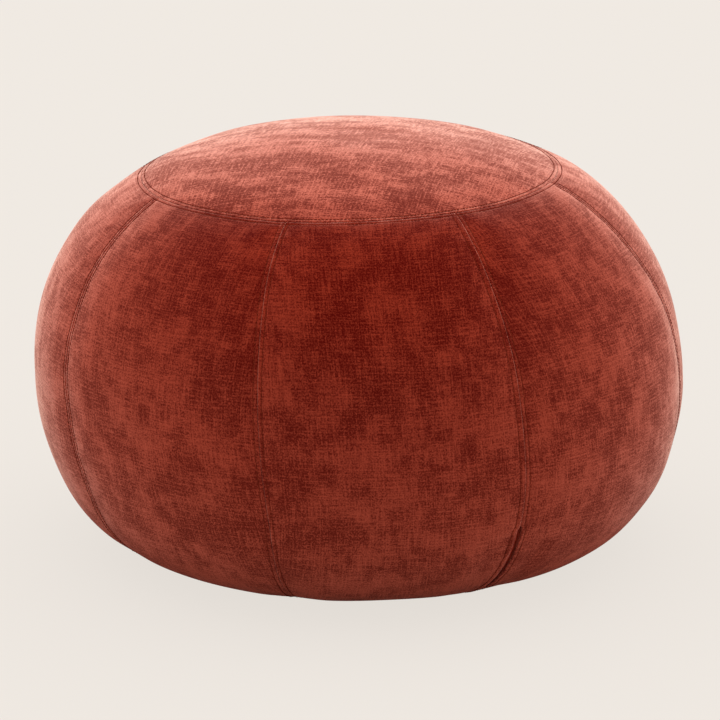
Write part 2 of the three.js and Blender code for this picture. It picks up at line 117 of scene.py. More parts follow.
@dataclass
class Outline:
    """The cover's side view, as a path from the base's centre up to the crown's.

    A place on it is s: 0 at the base seam, negative on the base panel, gore_length at the top
    seam, and more on the crown.
    """

    width: float = 0.550
    height: float = 0.350
    foot_radius: float = 0.113
    side_radius: float = 0.207
    foot_join: float = -23.7
    shoulder_join: float = 13.5
    top_seam: float = 60.5
    crown_rise: float = 0.027
    base_inset: float = 0.014
    crease_softness: float = 0.012
    step: float = 0.0005
    gore_length: float = field(init=False)
    crown_length: float = field(init=False)
    base_length: float = field(init=False)

    def __post_init__(self) -> None:
        """Walks the arcs in order and keeps the walk as evenly spaced points."""
        drop = self.side_radius - self.foot_radius
        side = (self.width / 2 - self.side_radius,
                self.foot_radius - drop * sine(self.foot_join))
        foot = (side[0] + drop * cosine(self.foot_join), self.foot_radius)
        seam_height = self.height - self.crown_rise
        shoulder_radius = ((seam_height - side[1] - self.side_radius * sine(self.shoulder_join))
                           / (sine(self.top_seam) - sine(self.shoulder_join)))
        reach = self.side_radius - shoulder_radius
        shoulder = (side[0] + reach * cosine(self.shoulder_join),
                    side[1] + reach * sine(self.shoulder_join))
        seam_radius = shoulder[0] + shoulder_radius * cosine(self.top_seam)
        crown_radius = (seam_radius ** 2 + self.crown_rise ** 2) / (2 * self.crown_rise)
        crown = (0.0, self.height - crown_radius)
        crown_angle = 90.0 - math.degrees(math.asin(seam_radius / crown_radius))
        self.base_length = foot[0] - self.base_inset
        legs = [
            self._flat(0.0, foot[0]),
            self._arc(foot, self.foot_radius, -90.0, self.foot_join),
            self._arc(side, self.side_radius, self.foot_join, self.shoulder_join),
            self._arc(shoulder, shoulder_radius, self.shoulder_join, self.top_seam),
            self._arc(crown, crown_radius, crown_angle, 90.0),
        ]
        points = np.vstack([legs[0], *[leg[1:] for leg in legs[1:]]])
        walked = np.concatenate([[0.0], np.cumsum(np.linalg.norm(np.diff(points, axis=0), axis=1))])
        crown_walk = np.linalg.norm(np.diff(legs[-1], axis=0), axis=1).sum()
        self.gore_length = walked[-1] - crown_walk - self.base_length
        self.crown_length = crown_walk
        self._places = np.arange(0.0, walked[-1], self.step) - self.base_length
        spots = self._places + self.base_length
        self._radius = self._softened(np.interp(spots, walked, points[:, 0]))
        self._height = self._softened(np.interp(spots, walked, points[:, 1]))
        slope = np.arctan2(np.gradient(self._height), np.gradient(self._radius))
        self._normal = np.stack([np.sin(slope), -np.cos(slope)], axis=1)
        LOG.info("outline: gore %.0f mm, crown %.0f mm, base %.0f mm",
                 *(length / MM for length in (self.gore_length, self.crown_length, self.base_length)))

    def _flat(self, start: float, end: float) -> np.ndarray:
        """Returns points along the floor from one radius to another."""
        radii = np.arange(start, end, self.step)
        return np.stack([np.append(radii, end), np.zeros(len(radii) + 1)], axis=1)

    def _arc(self, centre: tuple[float, float], radius: float, start: float,
             end: float) -> np.ndarray:
        """Returns points along an arc, between two elevations of its normal in degrees."""
        count = max(2, int(radius * math.radians(end - start) / self.step))
        angles = np.radians(np.linspace(start, end, count))
        return np.stack([centre[0] + radius * np.cos(angles),
                         centre[1] + radius * np.sin(angles)], axis=1)

    def _softened(self, values: np.ndarray) -> np.ndarray:
        """Rounds the crease at the top seam, and leaves the rest of a row of values alone."""
        reach = int(3 * self.crease_softness / self.step)
        around = np.arange(-reach, reach + 1) * self.step
        weights = np.exp(-0.5 * (around / self.crease_softness) ** 2)
        smooth = np.convolve(np.pad(values, reach, mode="reflect", reflect_type="odd"),
                             weights / weights.sum(), mode="valid")
        off = np.abs(self._places - self.gore_length)
        near = 1.0 - ease(reach * self.step, 2 * reach * self.step, off)
        return values + (smooth - values) * near

    def radius(self, s: np.ndarray) -> np.ndarray:
        """Returns the distance from the axis at each place."""
        return np.interp(s, self._places, self._radius)

    def point(self, azimuth: np.ndarray, s: np.ndarray, lift: np.ndarray) -> np.ndarray:
        """Finds points over the outline's surface.

        Args:
            azimuth: Angles round the axis from the front towards +X, in radians.
            s: Places along the outline.
            lift: Distances outwards from the surface.

        Returns:
            An array of points, with x, y and z last.
        """
        out = np.interp(s, self._places, self._normal[:, 0])
        up = np.interp(s, self._places, self._normal[:, 1])
        radius = self.radius(s) + lift * out
        height = np.interp(s, self._places, self._height) + lift * up
        return np.stack([radius * np.sin(azimuth), -radius * np.cos(azimuth), height], axis=-1)


@dataclass(frozen=True)
class Seam:
    """One gore seam: where it lies, and how far it leans from true at the foot, middle and top."""

    number: int
    azimuth: float
    lean: tuple[float, float, float]
    zipped: bool = False

    def line(self, share: np.ndarray) -> np.ndarray:
        """Returns the seam's azimuth in radians at each share of a gore's length."""
        foot, middle, top = self.lean
        start = 0.42 if self.zipped else 0.36
        lower = (middle - foot) * ease(start, 0.62, share)
        upper = (top - middle) * ease(0.55, 1.0, share)
        sway = 0.0 if self.zipped else 0.12 * ripple(share, 0.13, 50 + self.number)
        return np.radians(self.azimuth + foot + lower + upper + sway)


@dataclass
class Pattern:
    """The sewing pattern over the outline: eight gore seams, and the rings at their ends."""

    outline: Outline
    seams: list[Seam]

    def off_seam(self, azimuth: np.ndarray, s: np.ndarray) -> np.ndarray:
        """Returns the distance to the nearest seam at places of the pattern."""
        share = s / self.outline.gore_length
        radius = self.outline.radius(s)
        near = np.full(np.shape(s), 1.0)
        for seam in self.seams:
            off = (azimuth - seam.line(share) + math.pi) % (2 * math.pi) - math.pi
            near = np.minimum(near, np.abs(off) * radius)
        near = np.where((share > 0) & (share < 1), near, 1.0)
        return np.minimum(near, np.minimum(np.abs(s), np.abs(s - self.outline.gore_length)))


@dataclass(frozen=True)
class Sewing:
    """How the seams are sewn, and the relief that sewing gives the cloth beside them."""

    allowance: float = 12 * MM
    fold: float = 0.9 * MM
    fold_gap: float = 0.05 * MM
    row: float = 3.5 * MM
    band: float = 0.2 * MM
    pinch: float = 0.24 * MM
    pinch_width: float = 0.7 * MM
    pucker: float = 0.4 * MM
    pucker_reach: float = 9 * MM
    pucker_spacing: float = 7 * MM
    pucker_strength_spacing: float = 60 * MM
    pitch: float = 3.0 * MM
    first_stitch: float = 31 * MM
    face_steps: tuple[float, ...] = (0.5, 0.55, 0.5, 0.45, 0.45, 0.5, 0.6, 0.9, 1.3, 1.8, 2.3,
                                     2.8, 3.4)

    def relief(self, distance: np.ndarray) -> np.ndarray:
        """Returns how far cloth stands up at each distance from a seam."""
        band = self.band * (1.0 - ease(*self.band_edge(), distance))
        pinch = self.pinch * np.exp(-((distance - self.row) / self.pinch_width) ** 2)
        return band - pinch

    def band_edge(self) -> tuple[float, float]:
        """Returns where the raised band over the allowance starts to fall, and where it ends."""
        return 0.85 * self.allowance, 1.5 * self.allowance

    def puckers(self, distance: np.ndarray, along: np.ndarray, seed: int) -> np.ndarray:
        """Returns the small gathers that run out from a seam's stitching."""
        fine = ripple(along, 0.45 * self.pucker_spacing, seed + 1)
        wave = ripple(along, self.pucker_spacing, seed) + 0.5 * fine
        strength = 0.55 + 0.45 * ripple(along, self.pucker_strength_spacing, seed + 2)
        near = np.exp(-((distance - self.row) / self.pucker_reach) ** 2)
        near = near * ease(0.0, self.row, distance)
        return self.pucker * wave * strength * near

    def roll(self) -> list[tuple[float, float]]:
        """Returns the turned edge, from the hem's inner end to the top of the fold.

        Returns:
            Pairs of distance from the seam and depth under the cloth's face.
        """
        centre = self.fold_gap + self.fold
        bottom = 2 * self.fold
        hem = [(share * self.allowance, bottom) for share in (1.0, 0.5, 0.22)]
        turns = np.radians(np.linspace(-90.0, 90.0, 7))
        return hem + [(centre - self.fold * math.cos(t), self.fold - self.fold * math.sin(t))
                      for t in turns]

    def edge(self, hem: bool = True) -> list[tuple[float, float]]:
        """Returns the turned edge and the face beside it, close together by the stitching.

        Args:
            hem: Whether the part turned flat under the face is kept.

        Returns:
            Pairs of distance from the seam and depth under the cloth's face.
        """
        face = [self.fold_gap + self.fold + MM * sum(self.face_steps[:i + 1])
                for i in range(len(self.face_steps))]
        return self.roll()[0 if hem else 3:] + [(distance, 0.0) for distance in face]


# ------------------------------------------------------------------ meshes


def add_piece(name: str, data: bpy.types.ID) -> Object:
    """Puts a mesh or a camera into the scene as an object."""
    piece = bpy.data.objects.new(name, data)
    bpy.context.scene.collection.objects.link(piece)
    return piece


def smooth_mesh(name: str, points: np.ndarray, faces: list) -> Mesh:
    """Makes a mesh with smooth faces from its points and its faces' corners."""
    mesh = bpy.data.meshes.new(name)
    mesh.from_pydata(points.reshape(-1, 3).tolist(), [], faces)
    mesh.polygons.foreach_set("use_smooth", np.ones(len(faces), dtype=bool))
    mesh.update()
    return mesh


def grid_mesh(name: str, points: np.ndarray, maps: dict[str, np.ndarray],
              loop: bool = False) -> Object:
    """Makes a smooth sheet from rows of points.

    Args:
        name: The new object's name.
        points: Rows by columns by 3.
        maps: Named flat coordinates, each rows by columns by 2, with one more column on a loop.
        loop: Whether the last column joins the first.

    Returns:
        The new object, whose faces look away from the rows' right-hand side.
    """
    rows, columns = points.shape[:2]
    spans = columns if loop else columns - 1
    i, j = np.meshgrid(np.arange(rows - 1), np.arange(spans), indexing="ij")
    i, j = i.ravel(), j.ravel()
    k = (j + 1) % columns
    row, above = i * columns, (i + 1) * columns
    faces = np.stack([row + j, row + k, above + k, above + j], axis=1)
    mesh = smooth_mesh(name, points, faces.tolist())
    corners = [(i, j), (i, j + 1), (i + 1, j + 1), (i + 1, j)]
    for label, flat in maps.items():
        layer = mesh.uv_layers.new(name=label)
        uv = np.stack([flat[a, b] for a, b in corners], axis=1)
        layer.data.foreach_set("uv", uv.astype(np.float32).ravel())
    return add_piece(name, mesh)


def thicken(piece: Object, thickness: float) -> None:
    """Gives a sheet its cloth's thickness, inwards from its face."""
    solid = piece.modifiers.new("cloth_thickness", "SOLIDIFY")
    solid.thickness = thickness
    solid.offset = -1.0
    solid.use_even_offset = False


def stitch_mesh(name: str, starts: np.ndarray, ends: np.ndarray, ups: np.ndarray,
                radius: float, rise: float) -> Object:
    """Makes a row of short raised stitches as one mesh of closed pods.

    Args:
        name: The new object's name.
        starts: Where each stitch comes out of the cloth.
        ends: Where each goes back in.
        ups: The cloth's outward direction at each.
        radius: The thread's radius.
        rise: How far the middle of a stitch stands over its ends.

    Returns:
        The new object.
    """
    sides = 6
    shares = np.array([0.0, 0.12, 0.35, 0.65, 0.88, 1.0])
    swell = np.array([0.35, 0.8, 1.0, 1.0, 0.8, 0.35])
    along = ends - starts
    across = np.cross(along, ups)
    across /= np.linalg.norm(across, axis=1, keepdims=True)
    angles = np.linspace(0.0, 2 * math.pi, sides, endpoint=False)
    rings = []
    for share, width in zip(shares, swell):
        centre = starts + along * share + ups * (rise * 4 * share * (1 - share))
        rings.append(np.stack([centre + radius * width * (math.cos(a) * across + math.sin(a) * ups)
                               for a in angles], axis=1))
    verts = np.stack(rings, axis=1)
    count, stations = len(starts), len(shares)
    faces = []
    for n in range(count):
        base = n * stations * sides
        for r in range(stations - 1):
            low = base + r * sides
            faces += [(low + k, low + (k + 1) % sides,
                       low + sides + (k + 1) % sides, low + sides + k)
                      for k in range(sides)]
        faces.append(tuple(base + k for k in reversed(range(sides))))
        faces.append(tuple(base + (stations - 1) * sides + k for k in range(sides)))
    return add_piece(name, smooth_mesh(name, verts, faces))


# ------------------------------------------------------------------ shader effects


class Effect(Enum):
    """The effects that more than one finish uses, each a node group."""

    CRUSH = "crushed_pile"
    SLUB = "slub_weave"


def add_node(tree: NodeTree, kind: str, **settings: object) -> Node:
    """Adds a node and sets its plain settings."""
    node = tree.nodes.new(kind)
    for key, value in settings.items():
        setattr(node, key, value)
    return node


def feed(tree: NodeTree, node: Node, **inputs: object) -> Node:
    """Sets or links a node's inputs, named with underscores for spaces."""
    for key, value in inputs.items():
        socket = node.inputs[int(key[1:])] if key[0] == "_" else node.inputs[key.replace("_", " ")]
        if isinstance(value, NodeSocket):
            tree.links.new(value, socket)
        else:
            socket.default_value = value
    return node


def math_node(tree: NodeTree, operation: str, *values: object,
              clamp: bool = False) -> NodeSocket:
    """Adds a Math node and returns its result."""
    node = add_node(tree, "ShaderNodeMath", operation=operation, use_clamp=clamp)
    feed(tree, node, **{f"_{i}": value for i, value in enumerate(values)})
    return node.outputs[0]


def mix_colour(tree: NodeTree, share: object, low: object, high: object) -> NodeSocket:
    """Adds a mix of two colours, plain or from sockets, and returns its result."""
    node = add_node(tree, "ShaderNodeMix", data_type="RGBA")
    low, high = ((*colour, 1.0) if isinstance(colour, tuple) else colour for colour in (low, high))
    feed(tree, node, _0=share, _6=low, _7=high)
    return node.outputs[2]


def bumped(tree: NodeTree, height: NodeSocket, strength: float, depth: float) -> NodeSocket:
    """Adds a bump of a depth in metres and returns its normal."""
    node = add_node(tree, "ShaderNodeBump")
    return feed(tree, node, Strength=strength, Distance=depth, Height=height).outputs[0]


def scaled(colour: Colour, share: float) -> Colour:
    """Returns a colour made darker or lighter."""
    return tuple(share * value for value in colour)


def noise(tree: NodeTree, place: object, scale: object, detail: float,
          roughness: float = 0.5) -> NodeSocket:
    """Adds a noise of a scale in cells per metre and returns its value."""
    node = add_node(tree, "ShaderNodeTexNoise", noise_dimensions="3D")
    feed(tree, node, Vector=place, Scale=scale, Detail=detail, Roughness=roughness)
    return node.outputs["Fac"]


def ramp(tree: NodeTree, value: object, low: float, high: float) -> NodeSocket:
    """Adds a smooth rise from 0 at low to 1 at high and returns it."""
    node = add_node(tree, "ShaderNodeMapRange", interpolation_type="SMOOTHSTEP")
    feed(tree, node, Value=value, From_Min=low, From_Max=high)
    return node.outputs["Result"]


def stretch(tree: NodeTree, place: object, across: float, along: float) -> NodeSocket:
    """Scales flat coordinates by different amounts each way and returns them."""
    node = add_node(tree, "ShaderNodeVectorMath", operation="MULTIPLY")
    feed(tree, node, _0=place, _1=(across, along, 1.0))
    return node.outputs[0]


class EffectLibrary:
    """Builds each shared node group once and hands it out."""

    def __init__(self) -> None:
        """Starts with nothing built."""
        self._built: dict[Effect, NodeTree] = {}
        self._makers: dict[Effect, Callable[[NodeTree], None]] = {
            Effect.CRUSH: self._crush,
            Effect.SLUB: self._slub,
        }

    def place(self, tree: NodeTree, effect: Effect, **inputs: object) -> Node:
        """Puts an effect into a material.

        Args:
            tree: The material's nodes.
            effect: Which effect.
            **inputs: Its named inputs.

        Returns:
            The group's node.
        """
        if effect not in self._built:
            group = bpy.data.node_groups.new(effect.value, "ShaderNodeTree")
            self._makers[effect](group)
            self._built[effect] = group
        node = add_node(tree, "ShaderNodeGroup", node_tree=self._built[effect])
        return feed(tree, node, **inputs)

    @staticmethod
    def _sockets(group: NodeTree, inputs: dict[str, tuple[str, float | None]],
                 outputs: list[str]) -> tuple[Node, Node]:
        """Names a group's inputs and outputs and returns its two end nodes."""
        for name, (kind, value) in inputs.items():
            socket = group.interface.new_socket(name, in_out="INPUT", socket_type=kind)
            if value is not None:
                socket.default_value = value
        for name in outputs:
            group.interface.new_socket(name, in_out="OUTPUT", socket_type="NodeSocketFloat")
        return add_node(group, "NodeGroupInput"), add_node(group, "NodeGroupOutput")

    def _crush(self, group: NodeTree) -> None:
        """Patches where the pile lies flat or stands up, large and small."""
        start, end = self._sockets(group, {
            "Place": ("NodeSocketVector", None),
            "Patches": ("NodeSocketFloat", 30.0),
            "Flecks": ("NodeSocketFloat", 150.0),
        }, ["Mask", "Fine"])
        place = start.outputs["Place"]
        patches = start.outputs["Patches"]
        patch = noise(group, stretch(group, place, 1.0, 0.75), patches, 7.0, 0.72)
        wide = noise(group, place, math_node(group, "MULTIPLY", patches, 0.3), 2.0)
        uneven = math_node(group, "SUBTRACT", wide, 0.5)
        broad = math_node(group, "MULTIPLY_ADD", uneven, 0.55, patch)
        fleck = noise(group, stretch(group, place, 1.0, 0.8), start.outputs["Flecks"], 3.0, 0.75)
        feed(group, end, Mask=ramp(group, broad, 0.38, 0.64), Fine=ramp(group, fleck, 0.36, 0.64))

    def _slub(self, group: NodeTree) -> None:
        """Uneven threads both ways, each thick for a stretch and thin again."""
        start, end = self._sockets(group, {
            "Place": ("NodeSocketVector", None),
            "Thread": ("NodeSocketFloat", 900.0),
            "Run": ("NodeSocketFloat", 45.0),
        }, ["Warp", "Weft", "Height"])
        place, thread, run = (start.outputs[name] for name in ("Place", "Thread", "Run"))
        ways = []
        for first, second in ((thread, run), (run, thread)):
            scale = add_node(group, "ShaderNodeCombineXYZ")
            feed(group, scale, X=first, Y=second, Z=1.0)
            spread = add_node(group, "ShaderNodeVectorMath", operation="MULTIPLY")
            feed(group, spread, _0=place, _1=scale.outputs[0])
            ways.append(noise(group, spread.outputs[0], 1.0, 2.0, 0.5))
        height = math_node(group, "MAXIMUM", *ways)
        warp, weft = (ramp(group, way, 0.40, 0.74) for way in ways)
        feed(group, end, Warp=warp, Weft=weft, Height=height)


# ------------------------------------------------------------------ finishes


def new_material(name: str, colour: Colour) -> tuple[Material, Node]:
    """Starts a material.

    Args:
        name: The finish's name.
        colour: Its colour in a plain viewport.

    Returns:
        The material and its Principled shader.
    """
    material = bpy.data.materials.new(name)
    material.use_nodes = True
    material.diffuse_color = (*colour, 1.0)
    return material, material.node_tree.nodes["Principled BSDF"]


@dataclass(frozen=True)
class Velvet:
    """Crushed chenille velvet with a slubbed ground, in rust, with painted sheen in its colour."""

    name: str = "rust_velvet"
    deep: Colour = (0.088, 0.0012, 0.0003)
    bright: Colour = (0.285, 0.0280, 0.0120)
    # painted sheen: a lighter colour mixed in where the brushed pile turns side on to the view
    painted_sheen_colour: Colour = (0.54, 0.096, 0.055)
    # painted rim highlight: a pale colour mixed in at grazing angles
    painted_rim_colour: Colour = (0.95, 0.55, 0.45)
    # how quickly the painted sheen and the painted rim highlight rise towards grazing angles
    painted_sheen_spread: float = 1.5
    painted_rim_spread: float = 4.3
    # how strong the painted sheen and rim highlight are: a base share plus more on brighter cloth
    painted_sheen_base: float = 0.28
    painted_sheen_unevenness: float = 1.25
    # tilts the pile's direction, from which the painted sheen is measured
    nap: tuple[float, float, float] = (0.0, 0.0, -0.68)
    # painted shade: the painted rim highlight fades out as the normal turns downward between these
    # heights
    underside: tuple[float, float] = (-0.80, -0.10)
    cut: tuple[float, float] = (1.0, 1.0)
    patches: float = 44.0
    flecks: float = 800.0
    thread: float = 760.0
    run: float = 42.0
    grain: float = 1.0
    patch_grain: float = 0.46
    fleck_grain: float = 0.80
    thread_grain: float = 0.41
    # painted shade: how much darker the cloth is in the needle holes
    hole_shade: float = 0.6
    relief: float = 1.0 * MM
    sheen: Colour = (1.0, 0.33, 0.24)
    sheen_weight: float = 0.20
    sheen_roughness: float = 0.30
    sewing: Sewing = Sewing()

    def build(self, effects: EffectLibrary) -> Material:
        """Returns the finish as a material that reads the sheets' cloth, seam and rim maps."""
        material, shader = new_material(self.name, self.bright)
        tree = material.node_tree
        cloth = add_node(tree, "ShaderNodeUVMap", uv_map="cloth").outputs[0]
        crush = effects.place(tree, Effect.CRUSH, Place=stretch(tree, cloth, *self.cut),
                              Patches=self.patches, Flecks=self.flecks)
        slub = effects.place(tree, Effect.SLUB, Place=cloth, Thread=self.thread, Run=self.run)
        share = self._grained(tree, crush, slub)
        face = mix_colour(tree, share, self.deep, self.bright)
        # Painted sheen: the colour turns lighter where the brushed pile is side on to the view, and
        # pale at grazing angles as a painted rim highlight, which painted shade keeps off cloth
        # facing down.
        cover = math_node(tree, "MULTIPLY_ADD", share, self.painted_sheen_unevenness, self.painted_sheen_base)
        facing = self._turned(tree, self.painted_sheen_spread, self._pile(tree))
        lit = math_node(tree, "MULTIPLY", facing, cover, clamp=True)
        edge = self._turned(tree, self.painted_rim_spread)
        pale = math_node(tree, "MULTIPLY", edge, cover, clamp=True)
        pale = math_node(tree, "MULTIPLY", pale, self._painted_rim_side(tree))
        colour = mix_colour(tree, pale, mix_colour(tree, lit, face, self.painted_sheen_colour), self.painted_rim_colour)
        patches = math_node(tree, "MULTIPLY", crush.outputs["Mask"], 0.6)
        height = math_node(tree, "MULTIPLY_ADD", slub.outputs["Height"], 0.4, patches)
        feed(tree, shader, Base_Color=colour, Roughness=0.85, Specular_IOR_Level=0.03,
             Normal=bumped(tree, height, 0.35, self.relief), Sheen_Weight=self.sheen_weight,
             Sheen_Roughness=self.sheen_roughness, Sheen_Tint=(*self.sheen, 1.0))
        return material

    def _grained(self, tree: NodeTree, crush: Node, slub: Node) -> NodeSocket:
        """Returns how bright the cloth is, from its patches, flecks and threads, with painted shade
        in the needle holes.
        """
        share = 0.5 - 0.95 * self.grain
        for output, node, grain in (("Mask", crush, self.patch_grain),
                                    ("Fine", crush, self.fleck_grain),
                                    ("Warp", slub, self.thread_grain),
                                    ("Weft", slub, self.thread_grain)):
            share = math_node(tree, "MULTIPLY_ADD", node.outputs[output], grain * self.grain, share)
        share = math_node(tree, "MAXIMUM", share, 0.0)
        # painted shade in the needle holes of the gore seams and the top ring
        holes = math_node(tree, "MAXIMUM", self._holes(tree, "seam", self.sewing.first_stitch),
                          self._holes(tree, "rim", 0.0))
        whole = math_node(tree, "MULTIPLY_ADD", holes, -self.hole_shade, 1.0)
        return math_node(tree, "MULTIPLY", share, whole, clamp=True)

    @staticmethod
    def _turned(tree: NodeTree, spread: float, pile: NodeSocket | None = None) -> NodeSocket:
        """Returns how far the cloth, or its pile, is turned side on to the view, which sets the
        painted sheen.
        """
        edge = add_node(tree, "ShaderNodeLayerWeight")
        feed(tree, edge, Blend=0.5, **({"Normal": pile} if pile else {}))
        return math_node(tree, "POWER", edge.outputs["Facing"], spread)

    def _painted_rim_side(self, tree: NodeTree) -> NodeSocket:
        """Returns 1 on cloth that faces out or up and 0 underneath, where the painted rim highlight
        gives way to painted shade.
        """
        parts = add_node(tree, "ShaderNodeSeparateXYZ")
        feed(tree, parts, Vector=add_node(tree, "ShaderNodeTexCoord").outputs["Normal"])
        return ramp(tree, parts.outputs["Z"], *self.underside)

    def _pile(self, tree: NodeTree) -> NodeSocket:
        """Returns the way the pile points, out of the cloth and brushed a little to one side, for the
        painted sheen.
        """
        brushed = add_node(tree, "ShaderNodeVectorMath", operation="ADD")
        feed(tree, brushed, _0=add_node(tree, "ShaderNodeTexCoord").outputs["Normal"], _1=self.nap)
        straight = add_node(tree, "ShaderNodeVectorMath", operation="NORMALIZE")
        return feed(tree, straight, _0=brushed.outputs[0]).outputs[0]

    def _holes(self, tree: NodeTree, uv_map: str, start: float) -> NodeSocket:
        """Returns a mask of the needle holes along a stitched row, where painted shade darkens the
        cloth.
        """
        pitch = self.sewing.pitch
        parts = add_node(tree, "ShaderNodeSeparateXYZ")
        feed(tree, parts, Vector=add_node(tree, "ShaderNodeUVMap", uv_map=uv_map).outputs[0])
        aside = math_node(tree, "SUBTRACT", parts.outputs["X"], self.sewing.row)
        off = math_node(tree, "ABSOLUTE", aside)
        line = math_node(tree, "SUBTRACT", 1.0, ramp(tree, off, 0.1 * MM, 0.55 * MM))
        along = math_node(tree, "SUBTRACT", parts.outputs["Y"], start + 0.88 * pitch)
        turn = math_node(tree, "DIVIDE", along, pitch / (2 * math.pi))
        hole = ramp(tree, math_node(tree, "COSINE", turn), -0.4, 0.8)
        return math_node(tree, "MULTIPLY", line, hole)


@dataclass(frozen=True)
class Finish:
    """A finish of one colour, patterned in object space."""

    name: str
    colour: Colour

    def build(self, effects: EffectLibrary) -> Material:
        """Returns the finish as a material."""
        material, shader = new_material(self.name, self.colour)
        place = add_node(material.node_tree, "ShaderNodeTexCoord").outputs["Object"]
        self.paint(material.node_tree, shader, place, effects)
        return material

    def paint(self, tree: NodeTree, shader: Node, place: NodeSocket,
              effects: EffectLibrary) -> None:
        """Feeds the shader from a place in object space."""
        raise NotImplementedError


@dataclass(frozen=True)
class Thread(Finish):
    """Twisted sewing thread, a tone off the velvet."""

    name: str = "rust_thread"
    colour: Colour = (0.24, 0.028, 0.012)
    twist: float = 2600.0

    def paint(self, tree: NodeTree, shader: Node, place: NodeSocket,
              effects: EffectLibrary) -> None:
        """Darkens the hollows of the twist with painted shade."""
        twist = noise(tree, place, self.twist, 1.0)
        strands = ramp(tree, twist, 0.35, 0.65)
        colour = mix_colour(tree, strands, scaled(self.colour, 0.45), self.colour)
        feed(tree, shader, Base_Color=colour, Roughness=0.9, Specular_IOR_Level=0.0,
             Normal=bumped(tree, twist, 0.4, 0.1 * MM))


@dataclass(frozen=True)
class PlainCloth(Finish):
    """Plain woven cloth, such as calico or zip tape."""

    thread: float = 1400.0
    run: float = 120.0

    def paint(self, tree: NodeTree, shader: Node, place: NodeSocket,
              effects: EffectLibrary) -> None:
        """Weaves the cloth."""
        slub = effects.place(tree, Effect.SLUB, Place=place, Thread=self.thread, Run=self.run)
        colour = mix_colour(tree, slub.outputs["Warp"], scaled(self.colour, 0.7), self.colour)
        feed(tree, shader, Base_Color=colour, Roughness=0.9, Sheen_Weight=0.2,
             Normal=bumped(tree, slub.outputs["Height"], 0.3, 0.2 * MM))


@dataclass(frozen=True)
class WornMetal(Finish):
    """Dull plated metal, rubbed brighter in patches."""

    name: str = "zip_metal"
    colour: Colour = (0.34, 0.10, 0.06)
    rubbed: Colour = (0.55, 0.30, 0.20)
    wear: float = 420.0

    def paint(self, tree: NodeTree, shader: Node, place: NodeSocket,
              effects: EffectLibrary) -> None:
        """Rubs the plating."""
        wear = noise(tree, place, self.wear, 4.0, 0.6)
        rough = add_node(tree, "ShaderNodeMapRange")
        feed(tree, rough, Value=wear, To_Min=0.28, To_Max=0.5)
        colour = mix_colour(tree, ramp(tree, wear, 0.45, 0.7), self.colour, self.rubbed)
        feed(tree, shader, Base_Color=colour, Metallic=1.0, Roughness=rough.outputs["Result"])


@dataclass(frozen=True)
class Nylon(Finish):
    """The zip's moulded nylon coil."""

    name: str = "zip_nylon"
    colour: Colour = (0.66, 0.062, 0.027)
    mottle: float = 600.0

    def paint(self, tree: NodeTree, shader: Node, place: NodeSocket,
              effects: EffectLibrary) -> None:
        """Mottles the nylon."""
        mottle = noise(tree, place, self.mottle, 3.0)
        colour = mix_colour(tree, mottle, self.colour, scaled(self.colour, 1.5))
        feed(tree, shader, Base_Color=colour, Roughness=0.42,
             Normal=bumped(tree, mottle, 0.2, 0.1 * MM))


@dataclass(frozen=True)
class Beads(Finish):
    """Loose white filling beads, seen as one packed heap."""

    name: str = "filling_beads"
    colour: Colour = (0.86, 0.86, 0.82)
    beads: float = 260.0

    def paint(self, tree: NodeTree, shader: Node, place: NodeSocket,
              effects: EffectLibrary) -> None:
        """Packs the beads, with painted shade between them."""
        cells = add_node(tree, "ShaderNodeTexVoronoi")
        distance = feed(tree, cells, Vector=place, Scale=self.beads).outputs["Distance"]
        # painted shade: darker towards the edge of each bead's cell
        painted_gap_shade = ramp(tree, distance, 0.2, 0.7)
        bump = add_node(tree, "ShaderNodeBump", invert=True)
        feed(tree, bump, Strength=0.8, Distance=1.5 * MM, Height=distance)
        feed(tree, shader, Base_Color=mix_colour(tree, painted_gap_shade, self.colour, scaled(self.colour, 0.6)),
             Roughness=0.7, Normal=bump.outputs[0])


# ------------------------------------------------------------------ the cover


